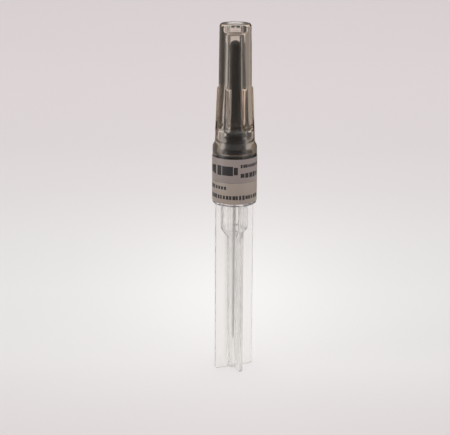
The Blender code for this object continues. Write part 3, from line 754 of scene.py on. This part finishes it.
def buildPrintRow():
    # A row of dashes round the label: chance changes each one's width and height, and a wide one joins the next
    group, take, give = newGroup(
        "printRow",
        [("Angle", "Float", 0.0), ("Height", "Float", 0.0), ("Middle", "Float", 0.0), ("Half", "Float", 0.0),
         ("Start", "Float", 0.0), ("End", "Float", 0.0), ("Pitch", "Float", 0.2), ("Fill", "Float", 0.8),
         ("Seed", "Float", 0.0)],
        [("Mask", "Float")],
    )
    widths, heights = labelLook["dashWidths"], labelLook["dashHeights"]
    off = mathNode(group, "ABSOLUTE", mathNode(group, "SUBTRACT", take["Height"], take["Middle"]))
    after = mathNode(group, "GREATER_THAN", take["Angle"], take["Start"])
    before = mathNode(group, "LESS_THAN", take["Angle"], take["End"])
    along = mathNode(group, "DIVIDE", mathNode(group, "SUBTRACT", take["Angle"], take["Start"]), take["Pitch"])
    cell = mathNode(group, "ADD", mathNode(group, "FLOOR", along), take["Seed"])
    width = mathNode(group, "MULTIPLY_ADD", chanceOf(group, cell), widths, take["Fill"])
    chance = chanceOf(group, mathNode(group, "ADD", cell, 0.5))
    reach = mathNode(group, "MULTIPLY", mathNode(group, "MULTIPLY_ADD", chance, heights, 1 - heights), take["Half"])
    inRow = mathNode(group, "LESS_THAN", off, reach)
    inDash = mathNode(group, "LESS_THAN", mathNode(group, "FRACT", along), width)
    dash = mathNode(group, "MULTIPLY", inRow, inDash)
    mask = mathNode(group, "MULTIPLY", dash, mathNode(group, "MULTIPLY", after, before))
    group.links.new(mask, give["Mask"])
    return group


printRow = buildPrintRow()

# Middle height, half height in mm, start and end in degrees from the front, dash pitch in degrees, fill, seed
upperRows = (
    (48.7, 1.15, -80, 8, 15.5, 0.62, 3), (49.8, 0.4, 15, 82, 7, 0.5, 5), (47.65, 0.62, 15, 80, 12.5, 0.55, 8),
    (49.3, 0.3, 95, 140, 12, 0.6, 14), (47.6, 0.18, 95, 150, 8, 0.55, 17),
    (49.3, 0.3, -150, -95, 12, 0.6, 21), (47.6, 0.18, -150, -95, 8, 0.55, 24),
)
lowerRows = (
    (44.7, 0.48, -82, -22, 9, 0.5, 31), (42.55, 0.55, -82, 76, 8.5, 0.55, 41),
    (44.3, 0.2, 95, 150, 9, 0.55, 44), (42.6, 0.3, -150, -95, 11, 0.6, 47),
)


def labelMaterial(name, shadedPaper, rows):
    look = labelLook
    material, tree, shader = newMaterial(name)
    parts = addNode(tree, "ShaderNodeSeparateXYZ", {0: rawCoords(tree)}).outputs
    angle = mathNode(tree, "ARCTAN2", parts["X"], mathNode(tree, "MULTIPLY", parts["Y"], -1.0))
    mask = None
    for middle, half, start, end, pitch, fill, seed in rows:
        row = placeGroup(
            tree, printRow, Angle=angle, Height=parts["Z"], Middle=middle * mm, Half=half * mm,
            Start=math.radians(start), End=math.radians(end), Pitch=math.radians(pitch),
            Fill=fill, Seed=float(seed),
        ).outputs[0]
        mask = row if mask is None else mathNode(tree, "MAXIMUM", mask, row)
    coords = objectCoords(tree, look["fibreStretch"])
    fibre = noise(tree, coords, look["fibre"], look["fibreDetail"], look["fibreRoughness"])
    cloud = noise(tree, objectCoords(tree), look["cloud"])
    clouded = mathNode(tree, "MULTIPLY_ADD", cloud, look["cloudShare"], look["tone"])
    tone = mathNode(tree, "MULTIPLY_ADD", fibre, look["fibreShare"], clouded)
    # painted shade: the sheet starts from the darkened paper colour
    sheet = mixed(tree, 1.0, (*shadedPaper, 1), tone, "MULTIPLY")
    inked = mathNode(tree, "MULTIPLY", mask, mapped(tree, fibre, *look["inkWear"]))
    printed = mixed(tree, inked, sheet, (*look["ink"], 1))
    # painted shade: the label's inner side is painted near black, for the shade seen behind it through the plastic
    squares = [mathNode(tree, "POWER", parts[axis], 2.0) for axis in ("X", "Y")]
    across = mathNode(tree, "ADD", *squares)
    inside = mathNode(tree, "LESS_THAN", across, ((labelSize["inner"] + look["backShadeDepth"]) * mm) ** 2)
    fillSockets(tree, shader, {
        "Base Color": mixed(tree, inside, printed, (*look["backShade"], 1)),
        "Roughness": mapped(tree, fibre, *noiseSpan, *look["rough"]),
    })
    giveBump(tree, shader, fibre, look["bump"], look["bumpDepth"])
    return material


def buildLabel(name, body, node, shadedPaper, rows, bottom, top, tornSide):
    s = labelSize
    inner, outer, edgeIn, edgeHigh = s["inner"], s["outer"], s["edgeIn"], s["edgeHigh"]
    middle = (bottom + top) / 2
    outline = [
        (inner, bottom, "low"), (outer - edgeIn, bottom, "low"), (outer, bottom + edgeHigh, "low"),
        (outer, middle, "mid"), (outer, top - edgeHigh, "high"), (outer - edgeIn, top, "high"),
        (inner, top, "high"), (inner, middle, "mid"),
    ]

    def bend(point, step):
        radius, height, form = point
        angle = 2 * math.pi * step / s["steps"]
        fromFront = (math.degrees(angle) + 90) % 360
        past = fromFront - s["seam"]
        if radius > inner + edgeIn / 2 and 0 <= past < s["overlap"]:
            ending = min((s["overlap"] - past) / s["lapEnd"], 1.0)
            radius += s["lapRise"] * ending * min(past / s["lapFoot"] + s["lapStep"], 1.0)
        if form == tornSide:
            tooth = step * s["teeth"] / s["steps"] % 1.0
            inward = 1 if form == "low" else -1
            height += inward * s["toothDepth"] * (1.0 if tooth < 0.5 else 0.0)
        return radius * math.cos(angle), radius * math.sin(angle), height

    bm = spinRings(outline, s["steps"], bend, closed=True)
    sheet = labelMaterial(name + "Paper", shadedPaper, rows)
    finishPiece(name, bm, sheet, body, node, s["sharp"])


buildNeedleShield()
buildRearCap()
buildHub()
buildCannula()
buildAdhesiveBead()
buildRubberSleeve()
buildLabel(
    "sealLabelUpper", "rear_cap", "seal_label_upper", labelLook["upper"], upperRows,
    labelSize["upperBottom"], labelSize["upperTop"], "low",
)
buildLabel(
    "sealLabelLower", "shield", "seal_label_lower", labelLook["lower"], lowerRows,
    labelSize["lowerBottom"], labelSize["lowerTop"], "high",
)


# Floor, world, lamps and camera

stageLook = {
    "floorSize": 8.0,
    # painted light and shade on the floor: how far in front of (-) or behind the object in metres, and the floor's
    # colour there
    "paintedFloorLight": (
        (-0.3, (0.64, 0.60, 0.595)), (-0.05, (0.625, 0.59, 0.585)), (0.0, (0.69, 0.685, 0.68)),
        (0.05, (0.70, 0.70, 0.695)), (0.1, (0.685, 0.68, 0.675)), (0.156, (0.67, 0.65, 0.645)),
        (0.23, (0.66, 0.625, 0.625)), (0.51, (0.70, 0.65, 0.655)), (0.7, (0.73, 0.685, 0.69)),
        (1.2, (0.75, 0.70, 0.70)),
    ),
    # painted pool of light round the object's foot: its middle and spread in metres, and how much lighter it is
    # there
    "paintedLightPlace": (0.0, 0.045, 0.0), "paintedLightSpread": (0.034, 0.075), "glow": 0.23,
    "rough": 0.9, "specular": 0.1,
    "worldColour": (0.68, 0.655, 0.66), "worldStrength": 1.0, "cardGlow": (1.0, 0.99, 0.98, 1.0),
    # name, place of one end and of the other in plan, lowest and highest, colour level, glow
    "cards": (
        ("rightLow", (0.0042, 0.058), (0.0234, 0.055), 0.0555, 0.0685, 0.08, 0.0),
        ("leftLow", (-0.0245, 0.055), (0.0042, 0.058), 0.0555, 0.0685, 0.2, 0.0),
        ("rightBack", (0.0, 0.152), (0.06, 0.14), 0.012, 0.048, 0.07, 0.0),
        ("rightFlag", (0.06, 0.14), (0.145, 0.047), 0.001, 0.3, 0.06, 0.0),
        ("rightSide", (0.145, 0.047), (0.15, -0.02), 0.001, 0.3, 0.45, 0.0),
        ("leftBack", (-0.065, 0.135), (-0.1, 0.11), 0.001, 0.3, 0.36, 0.0),
        ("leftFlag", (-0.1, 0.11), (-0.139, 0.056), 0.001, 0.3, 0.50, 0.0),
        ("leftSide", (-0.139, 0.056), (-0.148, 0.0), 0.001, 0.3, 0.17, 0.0),
        ("frontFlag", (-0.2, -0.18), (0.2, -0.18), 0.001, 0.06, 0.12, 0.0),
        ("backFlag", (-0.5, 0.36), (0.5, 0.36), 0.075, 0.32, 0.03, 0.0),
        ("leftGlow", (-0.084, -0.055), (-0.099, -0.014), 0.001, 0.09, 0.5, 1.2),
        ("rightGlow", (0.066, -0.076), (0.08, -0.06), 0.001, 0.09, 0.5, 0.6),
    ),
    # name, place, what it points at, width and height in metres, watts
    "lamps": (
        ("topBox", (0.0, 0.15, 0.9), (0, 0, 0.03), (1.2, 1.2), 4.3),
        ("leftBox", (-0.7, -0.25, 0.35), (0, 0, 0.04), (0.25, 0.7), 0.9),
        ("rightBox", (0.65, 0.1, 0.3), (0, 0, 0.04), (0.2, 0.7), 0.45),
    ),
}


def stagePiece(name, bm, material):
    mesh = bpy.data.meshes.new(name)
    bm.to_mesh(mesh)
    bm.free()
    mesh.materials.append(material)
    piece = bpy.data.objects.new(name, mesh)
    scene.collection.objects.link(piece)
    return piece


def floorMaterial():
    look = stageLook
    material, tree, shader = newMaterial("paleFloor")
    raw = rawCoords(tree)
    depth = addNode(tree, "ShaderNodeSeparateXYZ", {0: raw}).outputs["Y"]
    # painted light and shade: the floor's colour changes from front to back
    colours = look["paintedFloorLight"]
    near, far = colours[0][0], colours[-1][0]
    ramp = addNode(tree, "ShaderNodeValToRGB", {"Fac": mapped(tree, depth, near, far, 0.0, 1.0)})
    steps = ramp.color_ramp.elements
    while len(steps) < len(colours):
        steps.new(0.5)
    for step, (place, colour) in zip(steps, colours):
        step.position = (place - near) / (far - near)
        step.color = (*colour, 1.0)
    # painted pool of light: a lighter oval round the object's foot
    fromPaintedLight = addNode(tree, "ShaderNodeMapping", {
        "Vector": raw, "Location": [-part for part in look["paintedLightPlace"]],
    }).outputs[0]
    scale = (1 / look["paintedLightSpread"][0], 1 / look["paintedLightSpread"][1], 0)
    wide = addNode(tree, "ShaderNodeMapping", {"Vector": fromPaintedLight, "Scale": scale}).outputs[0]
    reach = addNode(tree, "ShaderNodeVectorMath", {0: wide, 1: wide}, operation="DOT_PRODUCT").outputs["Value"]
    glow = mathNode(tree, "DIVIDE", look["glow"], mathNode(tree, "ADD", reach, 1.0))
    level = mathNode(tree, "ADD", glow, 1.0)
    lit = addNode(tree, "ShaderNodeVectorMath", {0: ramp.outputs["Color"], "Scale": level}, operation="SCALE")
    fillSockets(tree, shader, {
        "Base Color": lit.outputs["Vector"], "Roughness": look["rough"], "Specular IOR Level": look["specular"],
    })
    return material


def buildFloor():
    bm = bmesh.new()
    bmesh.ops.create_grid(bm, x_segments=1, y_segments=1, size=stageLook["floorSize"] / 2)
    floor = stagePiece("floor", bm, floorMaterial())


def addCard(name, near, far, low, high, level, glow):
    # A plain upright card out of view: a dark one is seen only through the plastic, a glowing one only in its gloss
    material, tree, shader = newMaterial(name)
    fillSockets(tree, shader, {"Base Color": (level, level, level, 1.0), "Roughness": stageLook["rough"]})
    if glow:
        fillSockets(tree, shader, {"Emission Color": stageLook["cardGlow"], "Emission Strength": glow})
    bm = bmesh.new()
    bm.faces.new([bm.verts.new(place) for place in ((*near, low), (*far, low), (*far, high), (*near, high))])
    card = stagePiece(name, bm, material)
    card.visible_transmission = not glow
    card.visible_camera = card.visible_diffuse = card.visible_shadow = False


def buildWorld():
    world = bpy.data.worlds.new("studio")
    world.use_nodes = True
    back = world.node_tree.nodes["Background"]
    back.inputs["Color"].default_value = (*stageLook["worldColour"], 1.0)
    back.inputs["Strength"].default_value = stageLook["worldStrength"]
    scene.world = world


def addAreaLamp(name, place, target, size, power):
    data = bpy.data.lights.new(name, "AREA")
    data.shape = "RECTANGLE"
    data.size, data.size_y = size
    data.energy = power
    lamp = bpy.data.objects.new(name, data)
    scene.collection.objects.link(lamp)
    lamp.location = place
    direction = Vector(target) - Vector(place)
    lamp.rotation_euler = direction.to_track_quat("-Z", "Y").to_euler()


buildFloor()
for card in stageLook["cards"]:
    addCard(*card)
buildWorld()
for lamp in stageLook["lamps"]:
    addAreaLamp(*lamp)

# Place in mm, degrees below level, degrees of roll, lens and sensor in mm, nearest and farthest in metres
cameraLook = {
    "place": (-2.11, -273.94, 118.7), "down": 16.7, "roll": 0.28, "lens": 100.0, "sensor": 36.0,
    "clip": (0.01, 20.0),
}


def addCamera():
    look = cameraLook
    data = bpy.data.cameras.new("camera")
    data.lens, data.sensor_width = look["lens"], look["sensor"]
    data.clip_start, data.clip_end = look["clip"]
    camera = bpy.data.objects.new("camera", data)
    scene.collection.objects.link(camera)
    camera.location = [part * mm for part in look["place"]]
    tilt = Matrix.Rotation(math.radians(90 - look["down"]), 3, "X")
    roll = Matrix.Rotation(math.radians(look["roll"]), 3, "Z")
    camera.rotation_euler = (tilt @ roll).to_euler()
    scene.camera = camera


addCamera()
scene.view_settings.view_transform = "Standard"
print("stage ready")
